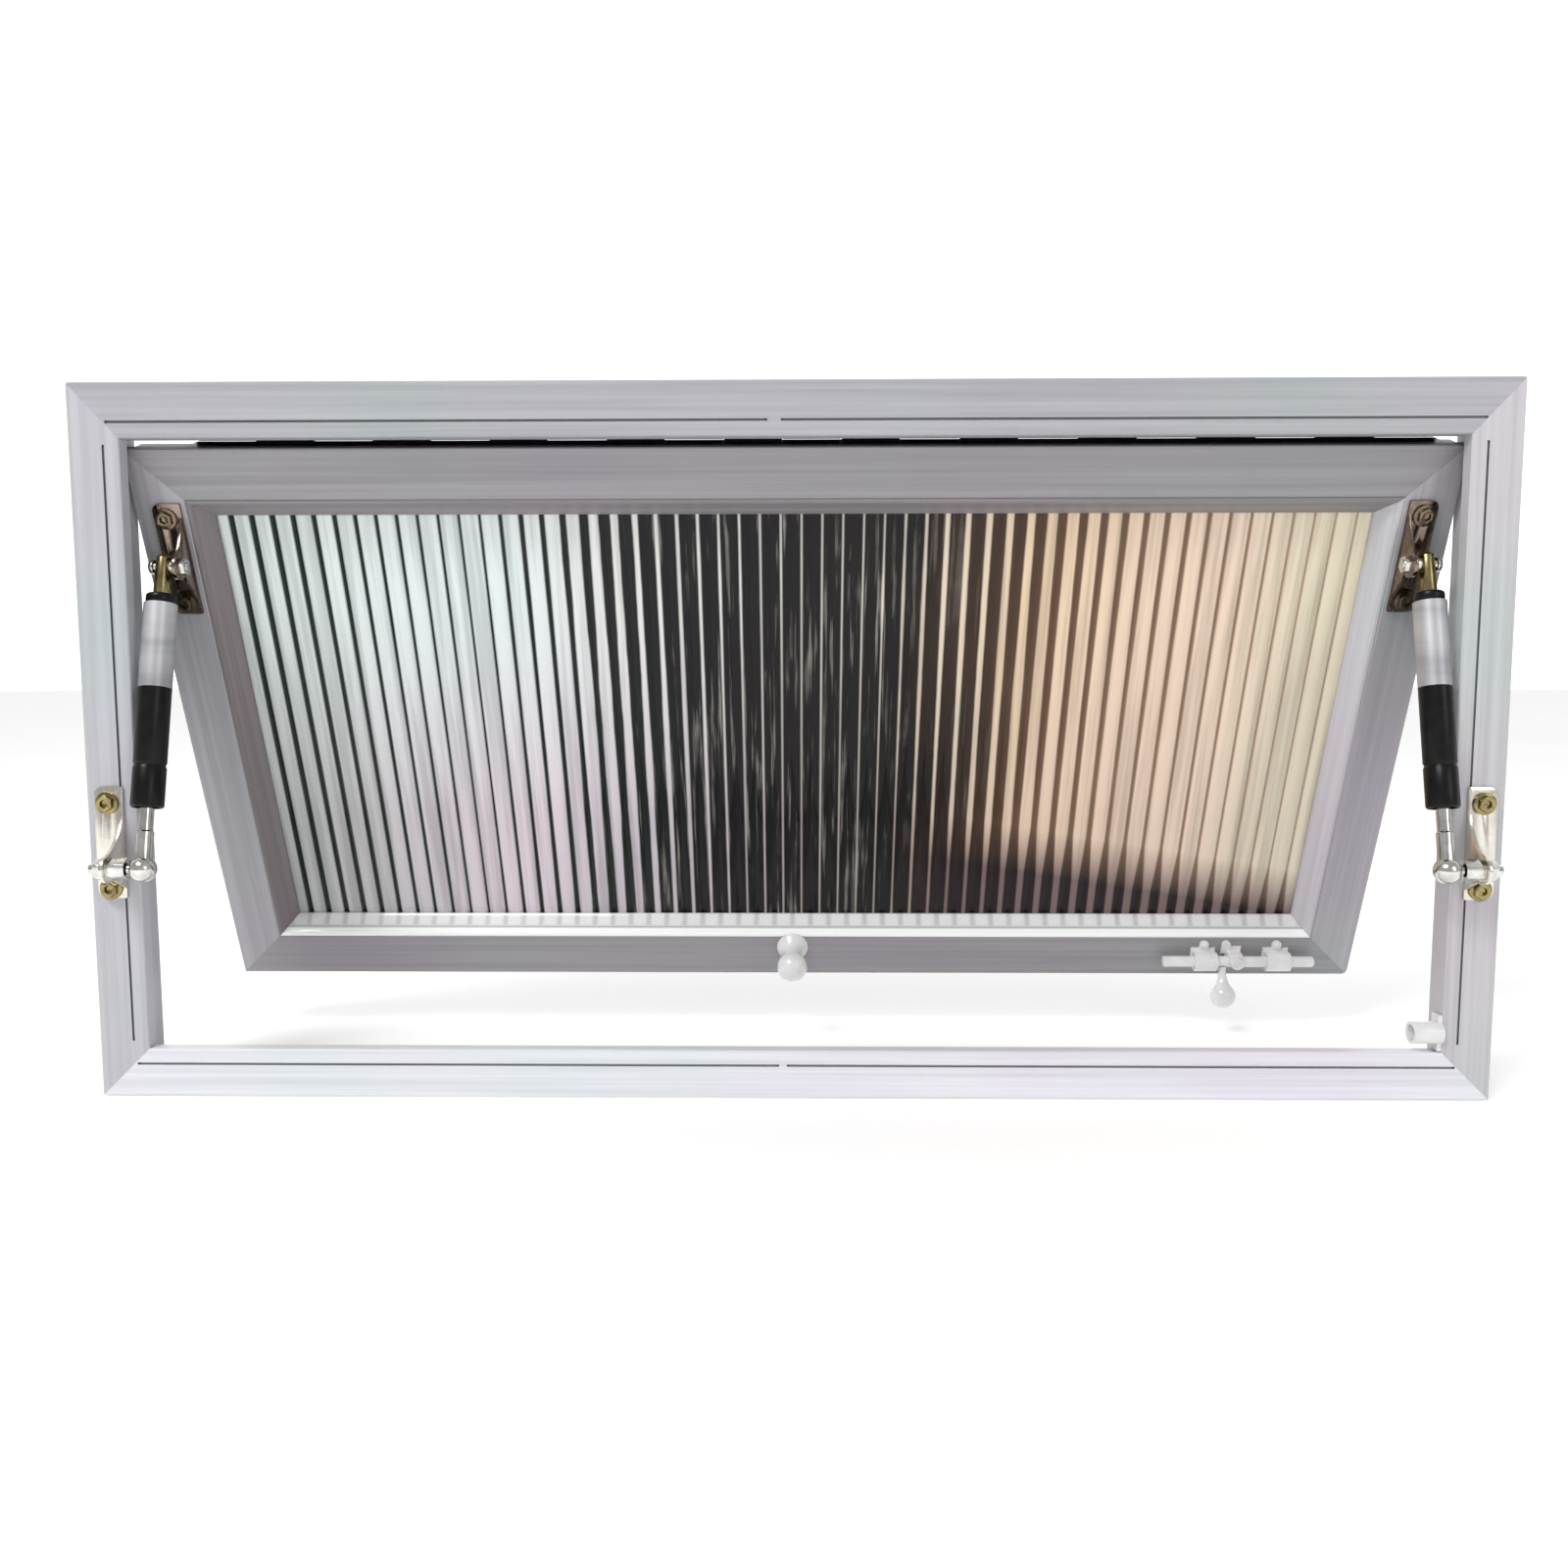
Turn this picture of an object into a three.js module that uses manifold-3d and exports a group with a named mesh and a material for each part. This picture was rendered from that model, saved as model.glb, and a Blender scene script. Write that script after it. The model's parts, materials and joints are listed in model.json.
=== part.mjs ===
// Top-hung window: an outer frame, a reeded-glass sash that swings outwards on a long top hinge, two gas
// struts on angle brackets, a pull knob, and a round sliding bolt with its keeper.
// Millimetres. +X to the right, +Y outdoors, +Z up. The origin is the middle of the sill's underside.
import * as THREE from 'three';
import { mergeVertices } from 'three/addons/utils/BufferGeometryUtils.js';
import Module from 'manifold-3d';

const wasm = await Module();
wasm.setup();

// ---------------------------------------------------------------- driving dimensions
const FRAME_W = 1000;
const FRAME_H = 505.7;
const FRAME_D = 50;
const FACE = { top: 38, bottom: 34.9, left: 35.4, right: 35.4 };
const LIP_D = 11;
const REBATE_SHARE = 0.7;
const OUTER_STEP_SHARE = 0.56;
const OUTER_STEP_D = 8;
const FRAME_WALL = 2.4;
const EDGE = 0.8;
const CORNER_R = 2.5;

const GROOVE_OUT = 11;
const GROOVE_W = 1.7;
const GROOVE_D = 1.5;
const GROOVE_BREAK = { top: { x: -11.3, w: 9.4 }, bottom: { x: -5.7, w: 5.6 } };

const SASH_W = 942;
const SASH_H = 445.1;
const SASH_T = 30;
const SASH_FACE = 36.7;
const SASH_SET = 12;
const SASH_TOP_Z = 474.9;
const SASH_WALL = 2;
const SASH_CORNERS = { tl: 1.5, tr: 1.5, br: 6.5, bl: 1.2 };
const HINGE_REBATE_W = 2.6;
const HINGE_REBATE_FROM = 8;
const GLAZING_LIP_W = 12;
const GLAZING_LIP_T = 8;
const BEAD_W = 14.3;
const BEAD_D = 15.2;

const REED_PITCH = 15.2;
const REED_H = 2;
const REED_STEPS = 6;
const PANE_T = 4;
const PANE_EDGE = 1.5;

const OPEN_DEG = 21.2;
const HINGE_BACK = 46;
const HINGE_Z = 477;
const HINGE_LEFT = -430;
const HINGE_RIGHT = 460;
const HINGE_KNUCKLES = 21;
const BARREL_R = 3.8;
const PIN_R = 1.9;
const LEAF_T = 1.4;
const LEAF_W = 22;

const STRUT_X = 450;
const LOWER_BALL = { out: 24, z: 170.5 };
const UPPER_PIVOT = { down: 79.5, out: 20 };
const TUBE_R = 11;
const TUBE_BORE_R = 9.6;
const TUBE_FROM = 43;
const TUBE_TO = 190;
const CAP_TO = 196;
const EYE_R = 5.4;
const PIVOT_R = 3.2;
const PIVOT_FIT = 0.2;
const ROD_R = 4.8;
const ROD_TO = 150;
const NECK_R = 5.7;
const NECK_TO = 27;
const SOCKET_R = 9.2;
const SOCKET_BORE_R = 6.8;
const BALL_R = 6.4;

const PLATE_T = 2.2;
const EAR_T = 2.5;
const LOWER_PLATE = { x0: 473.6, x1: 494, z0: 146, z1: 226 };
const UPPER_PLATE = { x0: 437.5, x1: 458, down0: 38.5, down1: 121 };
const LOWER_SCREWS = [{ x: 484.5, z: 214.3 }, { x: 484.5, z: 153 }];
const UPPER_SCREWS = [{ x: 449, down: 49 }, { x: 448.6, down: 112 }];
const SCREW_R = 2.4;
const SCREW_L = 16;
const SCREW_FLANGE_R = 8;
const SCREW_FLANGE_T = 1.6;
const SCREW_HEAD_FLATS = 10.5;
const SCREW_HEAD_H = 5;
const SCREW_SOCKET_FLATS = 5;
const HOLE_R = 2.8;

const KNOB = { down: 417.5, flangeR: 13, neckR: 6.4, ballR: 12.3, ballOut: 30 };

const BOLT = { down: 426, out: 8.8, rodR: 4.5, x0: 310.8, x1: 436.2 };
const SLEEVE_R = 8;
const SLEEVE_BORE_R = 4.75;
const SLEEVES = { left: [336.4, 355.2], right: [396.5, 416] };
const CATCH_X = [364, 377];
const HANDLE = { x: 360, ballR: 10.3, ballOut: 28.4, tiltDeg: 33.2 };
const KEEPER = { x0: 443.5, r: 8, boreR: 5.8, footT: 3, footW: 10, footH: 26 };

const SEAT = 0.1;
const MITRE_GAP = 0.03;
const ROUND = 20;

// ---------------------------------------------------------------- derived places
const FRONT_Y = -FRAME_D / 2;
const SASH_Y = FRONT_Y + SASH_SET;
const HINGE_Y = FRONT_Y + HINGE_BACK;
const OPEN = THREE.MathUtils.degToRad(OPEN_DEG);
const FRAME_RECT = { x0: -FRAME_W / 2, x1: FRAME_W / 2, z0: 0, z1: FRAME_H };
const SASH_RECT = { x0: -SASH_W / 2, x1: SASH_W / 2, z0: SASH_TOP_Z - SASH_H, z1: SASH_TOP_Z };
const SASH_FACES = { top: SASH_FACE, bottom: SASH_FACE, left: SASH_FACE, right: SASH_FACE };
const BEAD_FACES = { top: BEAD_W, bottom: BEAD_W, left: BEAD_W, right: BEAD_W };
const lowerBall = new THREE.Vector3(STRUT_X, FRONT_Y - LOWER_BALL.out, LOWER_BALL.z);
const upperClosed = new THREE.Vector3(STRUT_X, SASH_Y - UPPER_PIVOT.out, SASH_TOP_Z - UPPER_PIVOT.down);
const hingeLine = new THREE.Vector3(0, HINGE_Y, HINGE_Z);
const upperOpen = upperClosed.clone().sub(hingeLine).applyAxisAngle(new THREE.Vector3(1, 0, 0), OPEN).add(hingeLine);
const strutLength = Math.hypot(upperOpen.y - lowerBall.y, upperOpen.z - lowerBall.z);
const strutLean = Math.atan2(upperOpen.y - lowerBall.y, upperOpen.z - lowerBall.z);

// ---------------------------------------------------------------- solids
function signedVolume(geometry) {
  const p = geometry.attributes.position;
  const a = new THREE.Vector3();
  const b = new THREE.Vector3();
  const c = new THREE.Vector3();
  let sum = 0;
  for (let i = 0; i < geometry.index.count; i += 3) {
    a.fromBufferAttribute(p, geometry.index.getX(i));
    b.fromBufferAttribute(p, geometry.index.getX(i + 1));
    c.fromBufferAttribute(p, geometry.index.getX(i + 2));
    sum += a.dot(b.cross(c)) / 6;
  }
  return sum;
}

// Turns a closed geometry into a solid, with its faces pointing out.
function solid(geometry) {
  const bare = geometry.clone();
  bare.deleteAttribute('normal');
  bare.deleteAttribute('uv');
  const merged = mergeVertices(bare, 1e-4);
  const triangles = Uint32Array.from(merged.index.array);
  if (signedVolume(merged) < 0) {
    for (let i = 0; i < triangles.length; i += 3) {
      [triangles[i], triangles[i + 1]] = [triangles[i + 1], triangles[i]];
    }
  }
  const vertices = Float32Array.from(merged.attributes.position.array);
  return new wasm.Manifold(new wasm.Mesh({ numProp: 3, vertProperties: vertices, triVerts: triangles }));
}

function join(...solids) {
  return solids.reduce((sum, next) => sum.add(next));
}

function cut(from, ...tools) {
  return tools.reduce((rest, tool) => rest.subtract(tool), from);
}

function mesh(name, body, material) {
  const data = body.getMesh();
  const geometry = new THREE.BufferGeometry();
  geometry.setAttribute('position', new THREE.BufferAttribute(Float32Array.from(data.vertProperties), 3));
  geometry.setIndex(new THREE.BufferAttribute(Uint32Array.from(data.triVerts), 1));
  geometry.computeVertexNormals();
  const result = new THREE.Mesh(geometry, material);
  result.name = name;
  return result;
}

// Places an outline (a, b) and a distance t along one axis: x takes (y, z), y takes (x, z), z takes (x, y).
const ON_AXIS = {
  x: (a, b, t) => [t, a, b],
  y: (a, b, t) => [a, t, b],
  z: (a, b, t) => [a, b, t],
};

function prism(shape, axis, from, to, curveSegments = 8) {
  const geometry = new THREE.ExtrudeGeometry(shape, { depth: 1, bevelEnabled: false, curveSegments });
  const p = geometry.attributes.position;
  for (let i = 0; i < p.count; i += 1) {
    const t = p.getZ(i) < 0.5 ? Math.min(from, to) : Math.max(from, to);
    p.setXYZ(i, ...ON_AXIS[axis](p.getX(i), p.getY(i), t));
  }
  return solid(geometry);
}

function polygon(points) {
  return new THREE.Shape(points.map(([a, b]) => new THREE.Vector2(a, b)));
}

function regular(sides, radius, a, b, turn = 0) {
  const corners = Array.from({ length: sides }, (_, i) => turn + (2 * Math.PI * i) / sides);
  return polygon(corners.map((q) => [a + radius * Math.cos(q), b + radius * Math.sin(q)]));
}

function round(axis, a, b, radius, from, to, sides = ROUND) {
  return prism(regular(sides, radius, a, b), axis, from, to);
}

function hex(axis, a, b, flats, from, to) {
  return prism(regular(6, flats / Math.sqrt(3), a, b, Math.PI / 6), axis, from, to);
}

function box(x0, x1, y0, y1, z0, z1) {
  return prism(polygon([[x0, y0], [x1, y0], [x1, y1], [x0, y1]]), 'z', z0, z1);
}

// Spins a profile of (radius, height) about a line through `at`, heights running along `direction`.
function turned(profile, at, direction, sides = ROUND) {
  const geometry = new THREE.LatheGeometry(profile.map(([r, h]) => new THREE.Vector2(r, h)), sides);
  const up = new THREE.Vector3(0, 1, 0);
  geometry.applyQuaternion(new THREE.Quaternion().setFromUnitVectors(up, direction.clone().normalize()));
  geometry.translate(at.x, at.y, at.z);
  return solid(geometry);
}

// Points on a ball's profile, from one polar angle to another, both measured from its far pole.
function ballArc(radius, centre, fromDeg, toDeg, steps) {
  return Array.from({ length: steps + 1 }, (_, i) => {
    const q = THREE.MathUtils.degToRad(fromDeg + ((toDeg - fromDeg) * i) / steps);
    return [Math.max(0, radius * Math.sin(q)), centre + radius * Math.cos(q)];
  });
}

// ---------------------------------------------------------------- mitred sides
// One side of a rectangular rim. The profile's v runs inwards from the outer edge and w back from `front`.
function mitredSide(side, rect, faces, profile, front) {
  const geometry = new THREE.ExtrudeGeometry(profile, { depth: 1, bevelEnabled: false });
  const p = geometry.attributes.position;
  const flat = side === 'top' || side === 'bottom';
  const start = flat ? faces.left : faces.bottom;
  const end = flat ? faces.right : faces.top;
  const low = flat ? rect.x0 : rect.z0;
  const high = flat ? rect.x1 : rect.z1;
  for (let i = 0; i < p.count; i += 1) {
    const v = p.getX(i);
    const first = p.getZ(i) < 0.5;
    const along = first
      ? low + (v * start) / faces[side] + MITRE_GAP
      : high - (v * end) / faces[side] - MITRE_GAP;
    const across = { bottom: rect.z0 + v, top: rect.z1 - v, left: rect.x0 + v, right: rect.x1 - v }[side];
    const y = front + p.getY(i);
    p.setXYZ(i, flat ? along : across, y, flat ? across : along);
  }
  return solid(geometry);
}

function roundedBlock(rect, radii, y0, y1) {
  const shape = new THREE.Shape();
  shape.absarc(rect.x1 - radii.br, rect.z0 + radii.br, radii.br, -Math.PI / 2, 0, false);
  shape.absarc(rect.x1 - radii.tr, rect.z1 - radii.tr, radii.tr, 0, Math.PI / 2, false);
  shape.absarc(rect.x0 + radii.tl, rect.z1 - radii.tl, radii.tl, Math.PI / 2, Math.PI, false);
  shape.absarc(rect.x0 + radii.bl, rect.z0 + radii.bl, radii.bl, Math.PI, 1.5 * Math.PI, false);
  return prism(shape, 'y', y0, y1, 4);
}

function frameProfile(face) {
  const rebate = face * REBATE_SHARE;
  const outer = face * OUTER_STEP_SHARE;
  const step = FRAME_D - OUTER_STEP_D;
  const shape = polygon([
    [EDGE, 0], [face - EDGE, 0], [face, EDGE], [face, LIP_D], [rebate, LIP_D], [rebate, step],
    [outer, step], [outer, FRAME_D], [EDGE, FRAME_D], [0, FRAME_D - EDGE], [0, EDGE],
  ]);
  const [a, b] = [FRAME_WALL, outer - FRAME_WALL];
  const [c, d] = [FRAME_WALL, FRAME_D - FRAME_WALL];
  shape.holes.push(new THREE.Path([[a, c], [a, d], [b, d], [b, c]].map(([v, w]) => new THREE.Vector2(v, w))));
  return shape;
}

function sashProfile() {
  const back = SASH_T - GLAZING_LIP_T;
  const lip = SASH_FACE + GLAZING_LIP_W;
  const shape = polygon([
    [EDGE, 0], [SASH_FACE - EDGE, 0], [SASH_FACE, EDGE], [SASH_FACE, back], [lip, back],
    [lip, SASH_T - EDGE], [lip - EDGE, SASH_T], [EDGE, SASH_T], [0, SASH_T - EDGE], [0, EDGE],
  ]);
  const [a, b] = [HINGE_REBATE_W + SASH_WALL, SASH_FACE - SASH_WALL];
  const [c, d] = [SASH_WALL, SASH_T - SASH_WALL];
  shape.holes.push(new THREE.Path([[a, c], [a, d], [b, d], [b, c]].map(([v, w]) => new THREE.Vector2(v, w))));
  return shape;
}

// A sloping bead: a small rounded nose beside the sash's face, then a flat slope down to the glass.
function beadProfile() {
  return polygon([
    [SEAT, BEAD_D], [SEAT, 0.6], [1, 0.2], [2.6, 0.5], [3.8, 1.5], [4.6, 2.9],
    [BEAD_W - 1, BEAD_D - 3], [BEAD_W, BEAD_D - 1.6], [BEAD_W, BEAD_D],
  ]);
}

// ---------------------------------------------------------------- materials
function paint(color, roughness, metalness) {
  return new THREE.MeshStandardMaterial({ color, roughness, metalness });
}
const WHITE = paint(0xc9c9cf, 0.38, 0);
const SEAL = paint(0x1b1b1c, 0.8, 0);
const CHROME = paint(0xb9b9b4, 0.18, 1);
const ZINC = paint(0xa89a62, 0.3, 1);
const BLACK = paint(0x111113, 0.35, 0);
const HARDWARE = paint(0xeeeeee, 0.3, 0);
const REEDED = new THREE.MeshStandardMaterial({ color: 0xcfd8d4, roughness: 0.05, transparent: true, opacity: 0.4 });

// ---------------------------------------------------------------- frame
function screwHoles(places, y) {
  return places.map(({ x, z }) => round('y', x, z, HOLE_R, y - 1, y + SCREW_L + 3, 10));
}

function signedPlaces(places, sign) {
  return places.map(({ x, z, down }) => ({ x: sign * x, z: z ?? SASH_TOP_Z - down }));
}

function grooves(side) {
  const inner = FACE[side] - GROOVE_OUT;
  const depth = [FRONT_Y - 1, FRONT_Y + GROOVE_D];
  const lineX = FRAME_W / 2 - (FACE.right - GROOVE_OUT);
  if (side === 'left' || side === 'right') {
    const x = side === 'left' ? -lineX : lineX;
    const [z0, z1] = [FACE.bottom + 6, FRAME_H - FACE.top - 4.5];
    return [box(x - GROOVE_W / 2, x + GROOVE_W / 2, ...depth, z0, z1)];
  }
  const z = side === 'top' ? FRAME_H - inner : inner;
  const gap = GROOVE_BREAK[side];
  const height = [z - GROOVE_W / 2, z + GROOVE_W / 2];
  return [
    box(-lineX + 2, gap.x - gap.w / 2, ...depth, ...height),
    box(gap.x + gap.w / 2, lineX - 1, ...depth, ...height),
  ];
}

function frameSides() {
  const corners = { tl: CORNER_R, tr: CORNER_R, br: CORNER_R, bl: CORNER_R };
  const names = { top: 'frame_head', bottom: 'frame_sill', left: 'frame_jamb_left', right: 'frame_jamb_right' };
  return Object.entries(names).map(([side, name]) => {
    const bar = mitredSide(side, FRAME_RECT, FACE, frameProfile(FACE[side]), FRONT_Y);
    const rounded = bar.intersect(roundedBlock(FRAME_RECT, corners, FRONT_Y - 1, FRONT_Y + FRAME_D + 1));
    const sign = { left: -1, right: 1 }[side];
    const holes = sign ? screwHoles(signedPlaces(LOWER_SCREWS, sign), FRONT_Y) : [];
    return mesh(name, cut(rounded, ...grooves(side), ...holes), WHITE);
  });
}

// A thin rubber ring on the back of the frame's lip, which the closed sash lies against.
function frameSeal() {
  const y = FRONT_Y + LIP_D + 0.15;
  const inset = (amount) => ({
    x0: FRAME_RECT.x0 + FACE.left - amount,
    x1: FRAME_RECT.x1 - FACE.right + amount,
    z0: FRAME_RECT.z0 + FACE.bottom - amount,
    z1: FRAME_RECT.z1 - FACE.top + amount,
  });
  const slab = (r, y0, y1) => box(r.x0, r.x1, y0, y1, r.z0, r.z1);
  return mesh('frame_seal', cut(slab(inset(6), y, y + 0.6), slab(inset(1), y - 1, y + 2)), SEAL);
}

function boltKeeper() {
  const y = SASH_Y - BOLT.out;
  const z = SASH_TOP_Z - BOLT.down;
  const wall = FRAME_W / 2 - FACE.right - SEAT;
  const footY = FRONT_Y + 0.4;
  const footBase = Math.max(z - KEEPER.footH / 2, FACE.bottom + 0.5);
  const foot = box(wall - KEEPER.footT, wall, footY, footY + KEEPER.footW, footBase, z + KEEPER.footH / 2);
  const tube = round('x', y, z, KEEPER.r, KEEPER.x0, wall);
  return mesh('bolt_keeper', cut(join(foot, tube), round('x', y, z, KEEPER.boreR, KEEPER.x0 - 1, wall - 1)), HARDWARE);
}

// ---------------------------------------------------------------- hinge
function hingeLeaf(name, first, leafZ) {
  const pitch = (HINGE_RIGHT - HINGE_LEFT) / HINGE_KNUCKLES;
  const plateBack = HINGE_Y - BARREL_R - 0.4;
  const parts = [box(HINGE_LEFT, HINGE_RIGHT, HINGE_Y - BARREL_R - LEAF_W, plateBack, leafZ, leafZ + LEAF_T)];
  for (let i = first; i < HINGE_KNUCKLES; i += 2) {
    const x0 = HINGE_LEFT + i * pitch + 0.3;
    const x1 = x0 + pitch - 0.6;
    parts.push(box(x0, x1, plateBack - 1, HINGE_Y, leafZ, leafZ + LEAF_T));
    parts.push(box(x0, x1, HINGE_Y - BARREL_R + 0.3, HINGE_Y, Math.min(leafZ, HINGE_Z), Math.max(leafZ + LEAF_T, HINGE_Z)));
    parts.push(round('x', HINGE_Y, HINGE_Z, BARREL_R, x0, x1, 12));
  }
  const bore = round('x', HINGE_Y, HINGE_Z, PIN_R + 0.25, HINGE_LEFT - 1, HINGE_RIGHT + 1, 12);
  return mesh(name, cut(join(...parts), bore), BLACK);
}

function hingePin() {
  const shank = round('x', HINGE_Y, HINGE_Z, PIN_R, HINGE_LEFT - 1, HINGE_RIGHT + 1, 12);
  const heads = [HINGE_LEFT - 1.5, HINGE_RIGHT].map((x) => round('x', HINGE_Y, HINGE_Z, 3, x, x + 1.5, 12));
  return mesh('hinge_pin', join(shank, ...heads), BLACK);
}

// ---------------------------------------------------------------- screws, brackets and pivots
// A hexagon socket screw with a flanged head, pushed back along +Y into a plate whose front is at y.
function screw(name, x, z, y) {
  const flange = round('y', x, z, SCREW_FLANGE_R, y - SCREW_FLANGE_T, y, 16);
  const head = hex('y', x, z, SCREW_HEAD_FLATS, y - SCREW_HEAD_H, y - SCREW_FLANGE_T + 0.1);
  const shank = round('y', x, z, SCREW_R, y - 0.1, y + SCREW_L, 10);
  const socket = hex('y', x, z, SCREW_SOCKET_FLATS, y - SCREW_HEAD_H - 1, y - 2);
  return mesh(name, cut(join(flange, head, shank), socket), ZINC);
}

// An ear standing off a plate: it runs out to a round tip at the pivot, and its upper edge curves by `bend`.
function ear(sign, x0, pivotY, pivotZ, plateY, z0, z1, tipR, bend) {
  const shape = new THREE.Shape();
  shape.moveTo(plateY, z0);
  shape.lineTo(pivotY + tipR * 0.5, pivotZ - tipR * 0.87);
  shape.absarc(pivotY, pivotZ, tipR, -Math.PI / 3, -1.3 * Math.PI, true);
  shape.quadraticCurveTo(bend.y, bend.z, plateY, z1);
  return prism(shape, 'x', sign * x0, sign * (x0 + EAR_T), 10);
}

function plate(sign, p, z0, z1, y0, y1, endR) {
  const rect = { x0: Math.min(sign * p.x0, sign * p.x1), x1: Math.max(sign * p.x0, sign * p.x1), z0, z1 };
  const tips = { left: endR.inner, right: endR.outer };
  const radii = sign > 0
    ? { tl: tips.left, bl: tips.left, tr: tips.right, br: tips.right }
    : { tl: tips.right, bl: tips.right, tr: tips.left, br: tips.left };
  return prism(roundedRect(rect, radii), 'y', y0, y1, 5);
}

function roundedRect(rect, radii) {
  const shape = new THREE.Shape();
  shape.absarc(rect.x1 - radii.br, rect.z0 + radii.br, radii.br, -Math.PI / 2, 0, false);
  shape.absarc(rect.x1 - radii.tr, rect.z1 - radii.tr, radii.tr, 0, Math.PI / 2, false);
  shape.absarc(rect.x0 + radii.tl, rect.z1 - radii.tl, radii.tl, Math.PI / 2, Math.PI, false);
  shape.absarc(rect.x0 + radii.bl, rect.z0 + radii.bl, radii.bl, Math.PI, 1.5 * Math.PI, false);
  return shape;
}

const SIDES = [{ tag: 'left', sign: -1 }, { tag: 'right', sign: 1 }];

function lowerBracket({ tag, sign }) {
  const back = FRONT_Y - SEAT;
  const front = back - PLATE_T;
  const { x0, z0, z1 } = LOWER_PLATE;
  const base = plate(sign, LOWER_PLATE, z0, z1, front, back, { inner: 1, outer: 7 });
  const tip = ear(sign, x0, lowerBall.y, lowerBall.z, back, z0 + 6, z1 - 10, 10, {
    y: back - 5,
    z: lowerBall.z + 15,
  });
  const studHole = round('x', lowerBall.y, lowerBall.z, 4.2, sign * (x0 - 1), sign * (x0 + EAR_T + 1), 16);
  const holes = screwHoles(signedPlaces(LOWER_SCREWS, sign), front);
  return mesh(`lower_bracket_${tag}`, cut(join(base, tip), studHole, ...holes), CHROME);
}

function lowerScrews({ tag, sign }) {
  const y = FRONT_Y - SEAT - PLATE_T - SEAT;
  return signedPlaces(LOWER_SCREWS, sign).map(({ x, z }, i) => screw(`lower_screw_${tag}_${i + 1}`, x, z, y));
}

function ballStud({ tag, sign }) {
  const [y, z] = [lowerBall.y, lowerBall.z];
  const face = LOWER_PLATE.x0 - SEAT;
  const at = new THREE.Vector3(sign * STRUT_X, y, z);
  const ball = turned(ballArc(BALL_R, 0, 180, 0, 12), at, new THREE.Vector3(sign, 0, 0), 16);
  const neck = round('x', y, z, 3.6, sign * (STRUT_X + 3), sign * (STRUT_X + 12), 14);
  const collar = hex('x', y, z, 14, sign * (STRUT_X + 10.2), sign * face);
  const thread = round('x', y, z, 4, sign * (face - 1), sign * (LOWER_PLATE.x0 + 13), 14);
  return mesh(`ball_stud_${tag}`, join(ball, neck, collar, thread), CHROME);
}

function ballStudNut({ tag, sign }) {
  const from = LOWER_PLATE.x0 + EAR_T + SEAT;
  const nut = hex('x', lowerBall.y, lowerBall.z, 13, sign * from, sign * (from + 6));
  const bore = round('x', lowerBall.y, lowerBall.z, 4.15, sign * (from - 1), sign * (from + 7), 14);
  return mesh(`ball_stud_nut_${tag}`, cut(nut, bore), CHROME);
}

function upperBracket({ tag, sign }) {
  const back = SASH_Y - SEAT;
  const front = back - PLATE_T;
  const { x0, down0, down1 } = UPPER_PLATE;
  const [z0, z1] = [SASH_TOP_Z - down1, SASH_TOP_Z - down0];
  const base = plate(sign, UPPER_PLATE, z0, z1, front, back, { inner: 1, outer: 6 });
  const tip = ear(sign, x0, upperClosed.y, upperClosed.z, back, z0 + 7, z1 - 6, 9.5, {
    y: upperClosed.y + 9,
    z: upperClosed.z + 14,
  });
  const hole = round('x', upperClosed.y, upperClosed.z, PIVOT_R + PIVOT_FIT, sign * (x0 - 1), sign * (x0 + EAR_T + 1));
  const holes = screwHoles(signedPlaces(UPPER_SCREWS, sign), front);
  return mesh(`upper_bracket_${tag}`, cut(join(base, tip), hole, ...holes), CHROME);
}

function upperScrews({ tag, sign }) {
  const y = SASH_Y - SEAT - PLATE_T - SEAT;
  return signedPlaces(UPPER_SCREWS, sign).map(({ x, z }, i) => screw(`upper_screw_${tag}_${i + 1}`, x, z, y));
}

function pivotBolt({ tag, sign }) {
  const [y, z] = [upperClosed.y, upperClosed.z];
  const headFrom = STRUT_X + EYE_R + 0.4;
  const head = round('x', y, z, 5.2, sign * headFrom, sign * (headFrom + 2.8), 18);
  const shank = round('x', y, z, PIVOT_R, sign * (UPPER_PLATE.x0 - 5.6), sign * (headFrom + 1), 16);
  const collar = round('x', y, z, 5, sign * (UPPER_PLATE.x0 + EAR_T + SEAT), sign * (STRUT_X - EYE_R - 0.4), 16);
  return mesh(`pivot_bolt_${tag}`, join(head, shank, collar), ZINC);
}

function pivotNut({ tag, sign }) {
  const to = UPPER_PLATE.x0 - SEAT;
  const nut = hex('x', upperClosed.y, upperClosed.z, 11, sign * (to - 4.6), sign * to);
  const bore = round('x', upperClosed.y, upperClosed.z, PIVOT_R + PIVOT_FIT, sign * (to - 6), sign * (to + 1), 16);
  return mesh(`pivot_nut_${tag}`, cut(nut, bore), CHROME);
}

// ---------------------------------------------------------------- sash
// The step along the sash's top outer edge, which makes room for the hinge.
function hingeRebate() {
  const floor = SASH_TOP_Z - HINGE_REBATE_W;
  return box(-SASH_W, SASH_W, SASH_Y + HINGE_REBATE_FROM, SASH_Y + SASH_T + 1, floor, SASH_TOP_Z + 1);
}

function sashSides() {
  const names = { top: 'sash_rail_top', bottom: 'sash_rail_bottom', left: 'sash_stile_left', right: 'sash_stile_right' };
  return Object.entries(names).map(([side, name]) => {
    const bar = mitredSide(side, SASH_RECT, SASH_FACES, sashProfile(), SASH_Y);
    const rounded = bar.intersect(roundedBlock(SASH_RECT, SASH_CORNERS, SASH_Y - 1, SASH_Y + SASH_T + 1));
    const sign = { left: -1, right: 1 }[side];
    const holes = sign ? screwHoles(signedPlaces(UPPER_SCREWS, sign), SASH_Y) : [];
    return mesh(name, cut(rounded, hingeRebate(), ...holes), WHITE);
  });
}

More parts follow.
